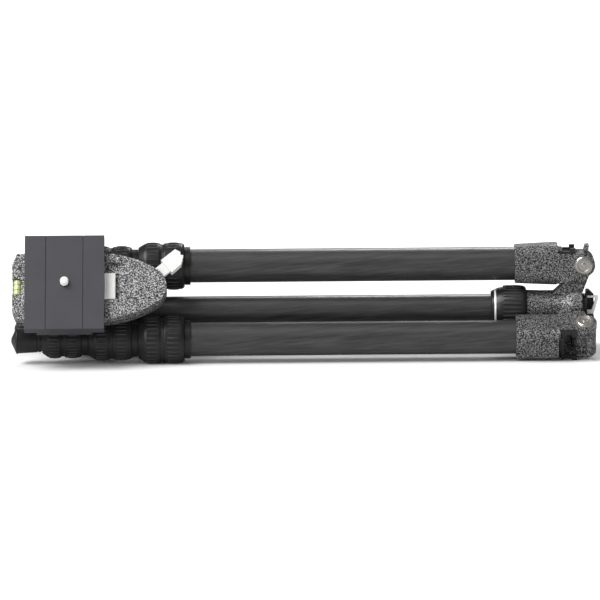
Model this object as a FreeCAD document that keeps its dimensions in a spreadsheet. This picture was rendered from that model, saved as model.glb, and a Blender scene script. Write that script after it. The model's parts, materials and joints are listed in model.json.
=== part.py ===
import FreeCAD
import Part
import Sketcher

import math
import os
import re

# Four-section carbon travel tripod with a ball head, folded for carrying.
# The column lies along X and the three leg hinge bolts lie in the plane X = 0.
# The legs are folded back along -X, round the extended column and its head.
# Lengths are in millimetres and +Z is up. Leg 1 is on top, and the part lies on
# legs 2 and 3. The origin is under the middle of the whole object.

SIZES = {
    # Hinges: each leg's axis and its bolt are this far from the column's axis.
    "hinge_radius": 34.0,
    "bolt_radius": 3.0,
    "bolt_head_radius": 7.0,
    "bolt_head_height": 2.5,
    "lug_radius": 8.7,
    "lug_width": 16.8,
    "fork_clearance": 0.3,
    "ear_thickness": 4.8,
    "ear_radius": 8.9,
    "ear_step": 2.4,
    "stop_reach": 14.7,
    "stop_width": 4.0,
    "stop_angle": 76.0,
    # Leg casting: a socket for the first tube, then the fork for the hinge.
    "crotch": 19.6,
    "socket_start": 17.0,
    "socket_length": 34.0,
    "socket_height": 30.8,
    "mouth_height": 26.6,
    "socket_width": 27.2,
    "socket_rounding": 9.0,
    "socket_floor": 4.0,
    "panel_margin": 4.0,
    "panel_width": 8.0,
    "panel_depth": 0.4,
    # Leg tubes, outermost first, and how deep their inner ends lie when folded.
    "tube_one_radius": 12.5,
    "tube_wall": 1.2,
    "tube_gap": 0.3,
    "nest_start": 35.0,
    "nest_step": 6.0,
    # Twist locks: a threaded sleeve on each tube's end and a rubber collar over it.
    "lock_start": 297.3,
    "collar_one_length": 34.7,
    "collar_two_length": 32.8,
    "collar_three_length": 29.9,
    "collar_one_thickness": 2.9,
    "collar_two_thickness": 2.0,
    "collar_three_thickness": 1.6,
    "collar_bevel": 1.8,
    "band_gap": 3.6,
    "band_depth": 1.0,
    "neck_length": 4.4,
    "sleeve_thickness": 1.5,
    "lip_length": 6.0,
    "thread_clearance": 0.3,
    "seat_length": 12.0,
    # Rubber foot.
    "foot_length": 22.4,
    "foot_radius": 9.9,
    "foot_top_radius": 8.9,
    "foot_cone": 4.5,
    "foot_tip_radius": 3.0,
    "foot_gap": 0.7,
    # Angle catch between the ears of each fork.
    "catch_height": 3.2,
    "catch_thickness": 2.6,
    "catch_tongue": 3.2,
    "catch_rail": 1.2,
    "catch_bump": 3.4,
    "catch_gap": 0.3,
    # Shoulder casting.
    "hub_length": 42.1,
    "hub_radius": 14.0,
    "hub_taper": 10.0,
    "hub_waist": 13.6,
    "hub_flare": 17.0,
    "arm_root": 2.0,
    "arm_foot": 6.0,
    "thread_radius": 13.0,
    "thread_length": 18.0,
    # Column and its lock.
    "column_radius": 11.0,
    "column_wall": 1.3,
    "running_fit": 0.08,
    "glue_gap": 0.02,
    "column_tail": 2.0,
    "grip_length": 26.8,
    "grip_radius": 17.2,
    "grip_rounding": 4.0,
    "plug_length": 6.2,
    "plug_radius": 14.6,
    "plug_seat": 4.0,
    "plug_dome": 4.0,
    "hook_reach": 3.8,
    "hook_thickness": 3.0,
    "hook_height": 9.8,
    "hook_bar": 1.9,
    "hook_foot": 4.5,
    "window_low": 5.4,
    "window_high": 10.8,
    # Ball head.
    "ball_centre": 395.8,
    "ball_radius": 12.0,
    "stem_radius": 5.0,
    "housing_radius": 16.0,
    "housing_tail": 35.0,
    "mouth_depth": 6.0,
    "bore_depth": 19.0,
    "base_length": 12.0,
    "base_radius": 16.0,
    "pivot_radius": 6.0,
    "pivot_length": 9.0,
    "top_plate_length": 5.0,
    "top_plate_radius": 16.4,
    "spigot_length": 18.0,
    "flange_start": 32.0,
    "flange_radius": 13.0,
    "seat_radius": 8.0,
    "seat_depth": 3.6,
    "knob_radius": 10.4,
    "knob_length": 17.0,
    "knob_place": 8.0,
    "pan_knob_radius": 7.6,
    "pan_knob_length": 12.0,
    "pan_knob_place": 27.5,
    "knob_shaft_radius": 3.0,
    "knob_stand": 0.5,
    "knob_rounding": 1.2,
    # Quick-release clamp, above the ball: a base layer and a body layer.
    "clamp_start": 38.0,
    "base_layer": 5.0,
    "layer_gap": 1.0,
    "body_layer": 7.7,
    "clamp_back": 29.0,
    "clamp_half_width": 26.3,
    "clamp_straight": 35.0,
    "clamp_shoulder": 78.0,
    "shoulder_half_width": 13.6,
    "clamp_tip": 85.6,
    "corner_long": 9.0,
    "corner_short": 3.4,
    "gap_inset": 1.6,
    "channel_floor": 3.4,
    "level_width": 12.5,
    "level_depth": 6.6,
    "vial_radius": 2.8,
    # Camera plate, its dovetail and the jaw that grips it.
    "plate_offset": 10.0,
    "plate_length": 59.0,
    "plate_width": 74.5,
    "plate_thickness": 8.0,
    "dovetail_width": 38.0,
    "dovetail_slope": 1.8,
    "slide_fit": 0.15,
    "jaw_length": 18.6,
    "jaw_width": 20.6,
    "jaw_travel": 3.0,
    "pin_recess_start": 11.0,
    "pin_recess_width": 8.0,
    "pin_recess_depth": 3.0,
    "groove_offset": 13.8,
    "groove_size": 0.6,
    "screw_radius": 3.175,
    "screw_height": 4.6,
    "screw_relief": 0.35,
    "screw_rounding": 0.8,
    "screw_head_radius": 8.0,
    "screw_head_height": 2.4,
    # Clamp lever.
    "pivot_along": 75.5,
    "pivot_across": 9.0,
    "lever_neck_width": 9.0,
    "lever_disc_radius": 4.4,
    "lever_pin_radius": 2.0,
    "lever_thickness": 2.4,
    "lever_slot_radius": 14.2,
    "lever_paddle_start": 12.4,
    "lever_paddle_end": 27.8,
    "lever_paddle_width": 12.0,
    "lever_flare": 0.6,
    "lever_chamfer": 3.0,
    "lever_notch": 1.6,
    "lever_paddle_height": 6.0,
    "lever_angle": 40.0,
}

# Directions round the column, in degrees from straight up.
LEG_ANGLES = (0, 120, 240)
HEAD_ANGLE = 60
KNOB_ANGLE = 300

# The axis that each plane of a body faces, and which way.
NORMALS = {"XY_Plane": 1, "YZ_Plane": 1, "XZ_Plane": -1}
PLANE_ACROSS = {"X": "YZ_Plane", "Y": "XZ_Plane", "Z": "XY_Plane"}

doc = FreeCAD.newDocument("tripod")
sheet = doc.addObject("Spreadsheet::Sheet", "Sizes")
for row, (alias, size) in enumerate(SIZES.items(), 1):
    sheet.set(f"A{row}", alias)
    sheet.set(f"B{row}", str(size))
    sheet.setAlias(f"B{row}", alias)
doc.recompute()


def formula(text):
    """Return the formula with each size's name pointing into the sheet."""
    def point(match):
        word = match.group(0)
        return f"Sizes.{word}" if word in SIZES else word
    return re.sub(r"[a-z_]+", point, text)


def number(text):
    """Work a formula out as a plain number."""
    return float(sheet.evalExpression(formula(text)))


class Piece:
    """One sub-part: a body whose sketches and features are bound to the sheet."""

    def __init__(self, label):
        self.body = doc.addObject("PartDesign::Body", label)
        self.body.Label = label

    def origin(self, role):
        """Return one of the body's own planes or axes."""
        return next(item for item in self.body.Origin.OriginFeatures if item.Role == role)

    def attach(self, feature, role, along="0"):
        """Lay a sketch or sphere on a plane, moved along the plane's normal."""
        feature.AttachmentSupport = [(self.origin(role), "")]
        feature.MapMode = "FlatFace"
        feature.setExpression("AttachmentOffset.Base.z", formula(along))

    def start(self, role, low, high):
        """Return where a feature from low to high begins, along the plane's normal."""
        return low if NORMALS[role] > 0 else f"-({high})"

    def sketch(self, role, outline, along="0"):
        """Draw a closed outline: corners (x, y), or (x, y, radius, turn) before an arc."""
        drawing = self.body.newObject("Sketcher::SketchObject", f"{self.body.Label}_sketch")
        self.attach(drawing, role, along)
        corners = [FreeCAD.Vector(number(item[0]), number(item[1]), 0) for item in outline]
        ends = []
        for index, item in enumerate(outline):
            first, second = corners[index], corners[(index + 1) % len(corners)]
            if len(item) == 2:
                edge = drawing.addGeometry(Part.LineSegment(first, second), False)
                ends.append((edge, 1, 2))
                continue
            edge = drawing.addGeometry(arc_between(first, second, number(item[2]), item[3]), False)
            ends.append((edge, 1, 2) if item[3] > 0 else (edge, 2, 1))
            radius = drawing.addConstraint(Sketcher.Constraint("Radius", edge, number(item[2])))
            drawing.setExpression(f"Constraints[{radius}]", formula(item[2]))
        for index, (edge, _, last) in enumerate(ends):
            follower, first, _ = ends[(index + 1) % len(ends)]
            drawing.addConstraint(Sketcher.Constraint("Coincident", edge, last, follower, first))
        for (edge, first, _), item in zip(ends, outline):
            for kind, text in zip(("DistanceX", "DistanceY"), item):
                place = Sketcher.Constraint(kind, -1, 1, edge, first, number(text))
                drawing.setExpression(f"Constraints[{drawing.addConstraint(place)}]", formula(text))
        return drawing

    def turn(self, outline, cut=False):
        """Revolve an outline of (x, radius) corners about the X axis."""
        drawing = self.sketch("XZ_Plane", outline)
        kind = "PartDesign::Groove" if cut else "PartDesign::Revolution"
        feature = self.body.newObject(kind, f"{self.body.Label}_turned")
        feature.Profile = drawing
        feature.ReferenceAxis = (drawing, ["H_Axis"])
        feature.Angle = 360
        return feature

    def extrude(self, drawing, low, high, cut):
        """Pad a drawing from low to high along its normal, or cut that space away."""
        kind = "PartDesign::Pocket" if cut else "PartDesign::Pad"
        feature = self.body.newObject(kind, f"{self.body.Label}_extruded")
        feature.Profile = drawing
        feature.setExpression("Length", formula(f"({high}) - ({low})"))
        feature.Reversed = cut
        return feature

    def pad(self, role, outline, low, high, cut=False):
        """Extrude an outline from low to high across the plane, or cut it away."""
        drawing = self.sketch(role, outline, self.start(role, low, high))
        return self.extrude(drawing, low, high, cut)

    def cylinder(self, axis, radius, low, high, across="0", up="0", cut=False, lean=0):
        """Add or cut a cylinder along an axis, from low to high, leaning about X."""
        role = PLANE_ACROSS[axis]
        drawing = self.body.newObject("Sketcher::SketchObject", f"{self.body.Label}_circle")
        drawing.AttachmentOffset = FreeCAD.Placement(
            FreeCAD.Vector(), FreeCAD.Rotation(FreeCAD.Vector(1, 0, 0), lean))
        self.attach(drawing, role, self.start(role, low, high))
        centre = FreeCAD.Vector(number(across), number(up), 0)
        circle = Part.Circle(centre, FreeCAD.Vector(0, 0, 1), number(radius))
        drawing.addGeometry(circle, False)
        for kind, text in zip(("DistanceX", "DistanceY"), (across, up)):
            place = Sketcher.Constraint(kind, -1, 1, 0, 3, number(text))
            drawing.setExpression(f"Constraints[{drawing.addConstraint(place)}]", formula(text))
        size = drawing.addConstraint(Sketcher.Constraint("Radius", 0, number(radius)))
        drawing.setExpression(f"Constraints[{size}]", formula(radius))
        return self.extrude(drawing, low, high, cut)

    def sphere(self, radius, cut=False):
        """Add or cut a sphere at the body's origin."""
        kind = "PartDesign::SubtractiveSphere" if cut else "PartDesign::AdditiveSphere"
        feature = self.body.newObject(kind, f"{self.body.Label}_sphere")
        self.attach(feature, "XY_Plane")
        feature.setExpression("Radius", formula(radius))
        return feature

    def ring(self, features, count):
        """Repeat features round the X axis."""
        pattern = self.body.newObject("PartDesign::PolarPattern", f"{self.body.Label}_ring")
        pattern.Originals = features
        pattern.Axis = (self.origin("X_Axis"), [""])
        pattern.Angle = 360
        pattern.Occurrences = count
        self.body.Tip = pattern

    def round_edges(self, radius, wanted):
        """Round the edges for which wanted(edge) is true."""
        doc.recompute()
        base = self.body.Tip
        names = [f"Edge{i}" for i, edge in enumerate(base.Shape.Edges, 1) if wanted(edge)]
        feature = self.body.newObject("PartDesign::Fillet", f"{self.body.Label}_rounding")
        feature.Base = (base, names)
        feature.setExpression("Radius", formula(radius))
        return feature

    def place(self, placement):
        """Put the finished piece where it belongs."""
        self.body.Placement = placement


def arc_between(first, second, radius, turn):
    """Return the shorter arc from first to second; turn is 1 to the left, -1 to the right."""
    chord = second - first
    middle = (first + second) * 0.5
    side = FreeCAD.Vector(-chord.y, chord.x, 0).normalize() * turn
    centre = middle + side * math.sqrt(radius ** 2 - (chord.Length / 2) ** 2)
    start, end = (first, second) if turn > 0 else (second, first)
    angles = [math.atan2(point.y - centre.y, point.x - centre.x) for point in (start, end)]
    circle = Part.Circle(centre, FreeCAD.Vector(0, 0, 1), radius)
    return Part.ArcOfCircle(circle, angles[0], angles[1])


def box(low_x, high_x, low_y, high_y):
    """Return the four corners of a rectangle."""
    return [(low_x, low_y), (high_x, low_y), (high_x, high_y), (low_x, high_y)]


def runs_lengthways(edge):
    """Tell whether an edge is straight and runs along X."""
    if edge.Curve.TypeId != "Part::GeomLine":
        return False
    return abs(abs(edge.Curve.Direction.x) - 1) < 1e-6


def around_column(angle, radius="0"):
    """Return the placement at an angle round the column, this far from its axis."""
    turn = FreeCAD.Placement(FreeCAD.Vector(), FreeCAD.Rotation(FreeCAD.Vector(1, 0, 0), angle))
    return turn * FreeCAD.Placement(FreeCAD.Vector(0, 0, number(radius)), FreeCAD.Rotation())


def at_head(along="0", angle=HEAD_ANGLE):
    """Return the placement of a head piece: the ball's centre, with +Z up its stem."""
    centre = FreeCAD.Placement(FreeCAD.Vector(number(f"{along} - ball_centre"), 0, 0),
                               FreeCAD.Rotation())
    return centre * around_column(angle)


# --- Places that several pieces share, as formulas -------------------------------

FORK_HALF = "lug_width / 2 + fork_clearance"
CASTING_HALF = f"{FORK_HALF} + ear_thickness"
SOCKET_END = "socket_start + socket_length"
COLLARS = ("collar_one", "collar_two", "collar_three")


def tube_radius(section):
    """Outer radius of a leg section, counted from 1."""
    return f"tube_one_radius - {section - 1} * (tube_wall + tube_gap)"


def lock_place(lock):
    """Distance from the hinge to the inner end of a twist lock, counted from 1."""
    lengths = [f"{collar}_length" for collar in COLLARS[:lock - 1]]
    return " + ".join(["lock_start", *lengths]) + f" + {lock - 1} * neck_length"


def lock_end(lock):
    """Distance from the hinge to the outer end of a twist lock."""
    return f"{lock_place(lock)} + {COLLARS[lock - 1]}_length"


def sleeve_radius(lock):
    """Outer radius of the threaded sleeve of a twist lock."""
    return f"{tube_radius(lock)} + sleeve_thickness"


def collar_radius(lock):
    """Outer radius of the rubber collar of a twist lock."""
    return f"{sleeve_radius(lock)} + thread_clearance + {COLLARS[lock - 1]}_thickness"


FOOT_START = f"{lock_end(3)} + foot_gap"
CHANNEL = "clamp_start + base_layer + layer_gap + channel_floor"
BODY_START = "clamp_start + base_layer + layer_gap"
BODY_TOP = f"{BODY_START} + body_layer"
PLATE_START = f"{BODY_TOP} + slide_fit"
PLATE_TOP = f"{PLATE_START} + plate_thickness"
JAW_START = "plate_offset + dovetail_width / 2"

pieces = []


def new_piece(label):
    """Start a piece and remember it for the final placing, checks and files."""
    piece = Piece(label)
    pieces.append(piece)
    return piece


# --- Shoulder, hinge bolts and column --------------------------------------------

def make_shoulder():
    """Cast hub with a threaded nose for the column lock and three hinge lugs."""
    piece = new_piece("shoulder_casting")
    piece.turn([
        ("-hub_length - thread_length", "0"),
        ("-hub_length - thread_length", "thread_radius"),
        ("-hub_length", "thread_radius"),
        ("-hub_length", "hub_radius"),
        ("-hub_length + hub_taper", "hub_waist"),
        ("-socket_start", "hub_waist"),
        ("-socket_start / 2", "hub_flare"),
        ("-1", "hub_flare"),
        ("-1", "0"),
    ])
    half = "lug_width / 2"
    arm = piece.pad("XZ_Plane", [
        ("-socket_start - arm_foot", "hub_waist - arm_root"),
        ("-1", "hub_waist - arm_root"),
        ("lug_radius / 2", "hinge_radius - lug_radius"),
        ("lug_radius", "hinge_radius"),
        ("-lug_radius", "hinge_radius"),
        ("-lug_radius - arm_root", "hinge_radius - lug_radius"),
        ("-socket_start + arm_root", "hub_flare + arm_root"),
    ], f"-{half}", half)
    lug = piece.cylinder("Y", "lug_radius", f"-{half}", half, up="hinge_radius")
    sine, cosine = "sin(stop_angle)", "cos(stop_angle)"
    across = ("stop_width / 2", "-stop_width / 2")
    tooth = piece.pad("XZ_Plane", [
        (f"{sine} * {across[1]}", f"hinge_radius - {cosine} * {across[1]}"),
        (f"{sine} * {across[0]}", f"hinge_radius - {cosine} * {across[0]}"),
        (f"stop_reach * {cosine} + {sine} * {across[0]} / 2",
         f"hinge_radius + stop_reach * {sine} - {cosine} * {across[0]} / 2"),
        (f"stop_reach * {cosine} + {sine} * {across[1]}",
         f"hinge_radius + stop_reach * {sine} - {cosine} * {across[1]} - 1"),
    ], f"-{half} + 1", f"{half} - 1")
    hole = piece.cylinder("Y", "bolt_radius + running_fit", "-lug_width", "lug_width",
                          up="hinge_radius", cut=True)
    piece.ring([arm, lug, tooth, hole], len(LEG_ANGLES))
    piece.cylinder("X", "column_radius + running_fit", "-hub_length - thread_length - 1", "1",
                   cut=True)
    piece.place(around_column(LEG_ANGLES[0]))


def make_bolt(index, angle):
    """Hinge bolt with a button head at each end, across a fork."""
    piece = new_piece(f"hinge_bolt_{index}")
    reach = f"{CASTING_HALF} + glue_gap"
    piece.cylinder("Y", "bolt_radius", f"-({reach})", reach)
    piece.cylinder("Y", "bolt_head_radius", reach, f"{reach} + bolt_head_height")
    piece.cylinder("Y", "bolt_head_radius", f"-({reach}) - bolt_head_height", f"-({reach})")
    piece.round_edges("bolt_head_height / 3", is_head_rim)
    piece.place(around_column(angle, "hinge_radius"))


def is_head_rim(edge):
    """Tell whether an edge is the outer rim of a bolt's head."""
    outer = number(f"{CASTING_HALF} + bolt_head_height / 2")
    return len(edge.Vertexes) == 1 and abs(edge.CenterOfMass.y) > outer


def make_column():
    """Carbon column, its end plug and hook, the lock's grip and the head's top plate."""
    tail = "column_tail"
    head_end = "ball_centre - housing_tail - base_length - top_plate_length"
    tube = new_piece("column_tube")
    tube.turn([
        (f"-({head_end})", "column_radius - column_wall"), (tail, "column_radius - column_wall"),
        (tail, "column_radius"), (f"-({head_end})", "column_radius"),
    ])
    tube.place(around_column(0))

    plug = new_piece("column_end_plug")
    bore = "column_radius - column_wall - running_fit"
    plug.turn([
        (f"{tail} - 2 * plug_seat", "0"), (f"{tail} - 2 * plug_seat", bore),
        (f"{tail} + glue_gap", bore), (f"{tail} + glue_gap", "plug_radius"),
        (f"{tail} + plug_length - plug_dome", "plug_radius"),
        (f"{tail} + plug_length", "plug_radius - plug_dome"), (f"{tail} + plug_length", "0"),
    ])
    slot = "hook_thickness / 2 + fork_clearance"
    plug.pad("XZ_Plane", box(f"{tail} - plug_seat", f"{tail} + plug_length + 1",
                             "-hook_foot - fork_clearance", "-fork_clearance"),
             f"-({slot})", slot, cut=True)
    plug.pad("XZ_Plane", box(f"{tail} + 1 - fork_clearance", f"{tail} + plug_length + 1",
                             "-window_low", "window_high"), f"-({slot})", slot, cut=True)
    plug.pad("XZ_Plane", box(f"{tail} + 1 - fork_clearance", f"{tail} + plug_length + 1",
                             "-window_low", "window_high"), "-plug_radius - 1", "0", cut=True)
    plug.place(around_column(0))

    hook = new_piece("column_hook")
    base, face = f"{tail} - plug_seat + fork_clearance", f"{tail} + plug_length"
    tip = f"{face} + hook_reach"
    bar = "hook_height - hook_bar"
    hook.pad("XZ_Plane", [
        (base, "-hook_foot"), (face, "-hook_foot"), (tip, f"{bar} + 0.2"),
        (f"{tip} - 0.4", "hook_height - 0.4"), (f"{tail} + 1", "hook_height"),
        (f"{tail} + 1", bar), (f"{tip} - 1.3 * hook_bar", bar),
        (f"{face} - hook_bar", "-hook_foot / 4"), (base, "-hook_foot / 4"),
    ], "-hook_thickness / 2", "hook_thickness / 2")
    hook.place(around_column(0))

    grip = new_piece("column_lock_collar")
    start, end = "hub_length + thread_clearance", "hub_length + grip_length"
    inner = "thread_radius + thread_clearance"
    nose = "hub_length + thread_length + thread_clearance"
    grip.turn([
        (f"-({start})", inner), (f"-({start})", "grip_radius"),
        (f"-({end}) + grip_rounding", "grip_radius"),
        (f"-({end})", "grip_radius - grip_rounding / 2"),
        (f"-({end})", "column_radius + thread_clearance"),
        (f"-({nose})", "column_radius + thread_clearance"), (f"-({nose})", inner),
    ])
    grip.place(around_column(0))

    plate = new_piece("column_top_plate")
    plate.turn([
        (f"-({head_end}) - top_plate_length", "0"),
        (f"-({head_end}) - top_plate_length", "top_plate_radius"),
        (f"-({head_end}) - glue_gap", "top_plate_radius"), (f"-({head_end}) - glue_gap", bore),
        (f"-({head_end}) + spigot_length", bore), (f"-({head_end}) + spigot_length", "0"),
    ])
    plate.place(around_column(0))


# --- Legs -------------------------------------------------------------------------

def make_casting(label):
    """Leg casting: fork with two ears, then a socket with recessed panels."""
    piece = new_piece(label)
    half, top = "socket_width / 2", "socket_height / 2"
    mouth = "mouth_height / 2"
    piece.pad("XZ_Plane", box(f"-({SOCKET_END})", "-socket_start", f"-{top}", top),
              f"-{half}", half)
    piece.round_edges("socket_rounding", runs_lengthways)
    for side in ("", "-"):
        piece.pad("XZ_Plane", [
            (f"-({SOCKET_END}) - 1", f"{side}({mouth})"), ("-crotch", f"{side}({top})"),
            ("-crotch", f"{side}({top} + 1)"), (f"-({SOCKET_END}) - 1", f"{side}({top} + 1)"),
        ], f"-{half} - 1", f"{half} + 1", cut=True)
    piece.pad("XZ_Plane", [
        ("-crotch", f"-{top} + ear_step"), ("-socket_start + ear_step", f"-{top} + ear_step"),
        ("0", "-ear_radius"), ("0", "ear_radius"), ("-crotch", "ear_radius"),
    ], f"-({CASTING_HALF})", CASTING_HALF)
    piece.cylinder("Y", "ear_radius", f"-({CASTING_HALF})", CASTING_HALF)
    piece.pad("XZ_Plane", box("-crotch", "2 * ear_radius", f"-{top} - 1", f"{top} + 1"),
              f"-({FORK_HALF})", FORK_HALF, cut=True)
    piece.pad("XZ_Plane", box("-socket_start - catch_gap - catch_thickness / 2", "0",
                              "ear_radius - 0.1", f"{top} + 1"),
              f"-{half} - 1", f"{half} + 1", cut=True)
    low, high = f"-({SOCKET_END}) + panel_margin", "-crotch - panel_margin"
    for side in (-1, 1):
        face = f"{side} * {half}"
        edges = (f"{face} - panel_depth", f"{face} + panel_depth")
        piece.pad("XZ_Plane", box(low, high, "-panel_width / 2", "panel_width / 2"),
                  *edges, cut=True)
    piece.cylinder("X", "tube_one_radius + glue_gap", f"-({SOCKET_END}) - 1",
                   "-crotch - socket_floor", cut=True)
    piece.cylinder("Y", "bolt_radius + running_fit", "-socket_width", "socket_width", cut=True)
    return piece


def make_catch(label):
    """Angle catch: a tongue in the fork, a finger block on top and a rail on each ear."""
    piece = new_piece(label)
    front = "-stop_reach - catch_gap - 0.5"
    back = f"{front} - catch_tongue"
    tongue = "lug_width / 2 - 1.4"
    base = "ear_radius + catch_gap"
    piece.pad("XZ_Plane", box(back, front, "-1.6", f"{base} + 2"), f"-({tongue})", tongue)
    wide = f"{CASTING_HALF} - 0.6"
    block = f"{front} - catch_thickness + 0.4"
    piece.pad("XZ_Plane", box(block, front, base, f"{base} + catch_height - 1.4"),
              f"-({wide})", wide)
    for side in (-1, 1):
        edges = sorted((f"{side} * ({wide})", f"{side} * ({FORK_HALF} + 0.4)"), key=number)
        piece.pad("XZ_Plane", box(front, "-ear_radius + 3", base, f"{base} + catch_rail"), *edges)
        piece.pad("XZ_Plane", box("-ear_radius - 1", "-ear_radius + 3", base,
                                  f"{base} + catch_bump"), *edges)
    return piece


def make_tube(label, section):
    """Leg tube; the outer ones end in a lock's sleeve and the last in the foot."""
    radius = tube_radius(section)
    inner = "crotch + socket_floor + glue_gap" if section == 1 \
        else f"nest_start + {section - 2} * nest_step"
    outer = f"{lock_place(section)} + seat_length" if section < 4 else f"{FOOT_START} + seat_length"
    piece = new_piece(label)
    piece.turn([
        (f"-({outer})", f"{radius} - tube_wall"), (f"-({inner})", f"{radius} - tube_wall"),
        (f"-({inner})", radius), (f"-({outer})", radius),
    ])
    return piece


def make_sleeve(label, lock):
    """Threaded sleeve on a tube's end, with the neck that shows beside the collar."""
    piece = new_piece(label)
    start, shoulder = f"{lock_place(lock)} - neck_length + thread_clearance", lock_place(lock)
    seat = f"{lock_place(lock)} + seat_length + glue_gap"
    end = f"{lock_end(lock)} - lip_length - thread_clearance"
    outside = f"{tube_radius(lock)} + glue_gap"
    guide = f"{tube_radius(lock + 1)} + running_fit"
    piece.turn([
        (f"-({start})", outside), (f"-({start})", f"{sleeve_radius(lock)} + 0.2"),
        (f"-({shoulder})", f"{sleeve_radius(lock)} + 0.2"), (f"-({shoulder})", sleeve_radius(lock)),
        (f"-({end})", sleeve_radius(lock)), (f"-({end})", guide), (f"-({seat})", guide),
        (f"-({seat})", outside),
    ])
    return piece


def make_collar(label, lock):
    """Rubber twist collar in two bands, over the sleeve and round the next tube."""
    piece = new_piece(label)
    start, end = f"{lock_place(lock)} + thread_clearance", lock_end(lock)
    middle = f"({start} + {end}) / 2"
    radius = collar_radius(lock)
    inner = f"{sleeve_radius(lock)} + thread_clearance"
    lip = f"{tube_radius(lock + 1)} + thread_clearance"
    piece.turn([
        (f"-({start})", inner), (f"-({start})", f"{radius} - collar_bevel / 2"),
        (f"-({start}) - collar_bevel / 2", radius),
        (f"-({middle}) + band_gap / 2", radius),
        (f"-({middle}) + band_gap / 4", f"{radius} - band_depth"),
        (f"-({middle}) - band_gap / 4", f"{radius} - band_depth"),
        (f"-({middle}) - band_gap / 2", radius),
        (f"-({end}) + collar_bevel", radius), (f"-({end})", f"{radius} - collar_bevel"),
        (f"-({end})", lip), (f"-({end}) + lip_length", lip), (f"-({end}) + lip_length", inner),
    ])
    return piece


def make_foot(label):
    """Rubber foot over the last tube's end."""
    piece = new_piece(label)
    start, end = FOOT_START, f"{FOOT_START} + foot_length"
    seat = f"{FOOT_START} + seat_length + glue_gap"
    bore = f"{tube_radius(4)} + glue_gap"
    piece.turn([
        (f"-({start})", bore), (f"-({start})", "foot_top_radius"),
        (f"-({end}) + foot_cone", "foot_radius"), (f"-({end})", "foot_tip_radius"),
        (f"-({end})", "0"), (f"-({seat})", "0"), (f"-({seat})", bore),
    ])
    return piece


def make_leg(index, angle):
    """One whole leg, folded back beside the column."""
    name = f"leg_{index}"
    members = [make_casting(f"{name}_casting"), make_catch(f"{name}_angle_catch"),
               make_foot(f"{name}_foot")]
    for section in range(1, 5):
        members.append(make_tube(f"{name}_tube_{section}", section))
    for lock in range(1, 4):
        members.append(make_sleeve(f"{name}_sleeve_{lock}", lock))
        members.append(make_collar(f"{name}_collar_{lock}", lock))
    for member in members:
        member.place(around_column(angle, "hinge_radius"))


# --- Ball head --------------------------------------------------------------------

def make_head_base():
    """Fixed base of the head, with the pivot that the housing turns on."""
    piece = new_piece("head_base")
    start = "housing_tail + glue_gap"
    piece.turn([
        (f"{start} - pivot_length", "0"), (f"{start} - pivot_length", "pivot_radius"),
        (f"{start} + fork_clearance", "pivot_radius"),
        (f"{start} + fork_clearance", "base_radius"),
        ("housing_tail + base_length - glue_gap", "base_radius"),
        ("housing_tail + base_length - glue_gap", "0"),
    ])
    piece.place(at_head())


def make_housing():
    """Ball housing: a socket for the ball and a notch that lets the stem lie sideways."""
    piece = new_piece("ball_housing")
    piece.turn([
        ("-mouth_depth", "0"), ("-mouth_depth", "housing_radius - 3"),
        ("-mouth_depth + 3", "housing_radius"), ("housing_tail - 1", "housing_radius"),
        ("housing_tail", "housing_radius - 1"), ("housing_tail", "0"),
    ])
    piece.sphere("ball_radius + running_fit", cut=True)
    piece.cylinder("X", "ball_radius + running_fit", "0", "bore_depth", cut=True)
    notch = "stem_radius + fork_clearance"
    piece.cylinder("Z", notch, "0", "2 * housing_radius", cut=True)
    piece.pad("XZ_Plane", box("-2 * mouth_depth", "0", "0", "2 * housing_radius"),
              f"-({notch})", notch, cut=True)
    piece.cylinder("X", "pivot_radius + running_fit", "housing_tail - pivot_length - 1",
                   "housing_tail + 1", cut=True)
    for place in ("knob_place", "pan_knob_place"):
        piece.cylinder("Z", "knob_shaft_radius + running_fit", "0", "2 * housing_radius",
                       across=place, cut=True, lean=KNOB_ANGLE - HEAD_ANGLE)
    piece.place(at_head())


def make_ball():
    """Ball, stem and the round seat under the clamp."""
    piece = new_piece("ball")
    piece.sphere("ball_radius")
    piece.cylinder("Z", "stem_radius", "0", "flange_start + 1")
    piece.cylinder("Z", "flange_radius", "flange_start", "clamp_start - glue_gap")
    piece.cylinder("Z", "seat_radius", "clamp_start - 1", "clamp_start + seat_depth")
    piece.place(at_head())


def make_knob(label, along, radius, length, shaft_start):
    """Knob beside the housing, on a shaft that enters it."""
    piece = new_piece(label)
    stand = "housing_radius + knob_stand"
    piece.cylinder("Z", radius, stand, f"{stand} + {length}")
    piece.round_edges("knob_rounding", lambda edge: len(edge.Vertexes) == 1)
    piece.cylinder("Z", "knob_shaft_radius", shaft_start, f"{stand} + 1")
    piece.place(at_head(along, KNOB_ANGLE))


def clamp_outline(inset="0"):
    """Outline of the clamp: squared at the back and a rounded tongue at the front."""
    rise = "(clamp_half_width - shoulder_half_width)"
    run = "(clamp_shoulder - clamp_straight)"
    side = f"({run}^2 + {rise}^2) / (2 * {rise}) - ({inset})"
    bulge = "(clamp_tip - clamp_shoulder)"
    tip = f"(shoulder_half_width^2 + {bulge}^2) / (2 * {bulge}) - ({inset})"
    half = f"clamp_half_width - ({inset})"
    join_x = f"clamp_shoulder - ({inset}) / 2"
    join_y = f"shoulder_half_width - 0.84 * ({inset})"
    back = f"-clamp_back + ({inset})"
    return [
        (f"{back} + corner_short", f"-({half})"),
        ("clamp_straight", f"-({half})", side, 1),
        (join_x, f"-({join_y})", tip, 1),
        (join_x, join_y, side, 1),
        ("clamp_straight", half),
        (f"{back} + corner_short", half),
        (back, f"{half} - corner_long"),
        (back, f"-({half}) + corner_long"),
    ]


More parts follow.
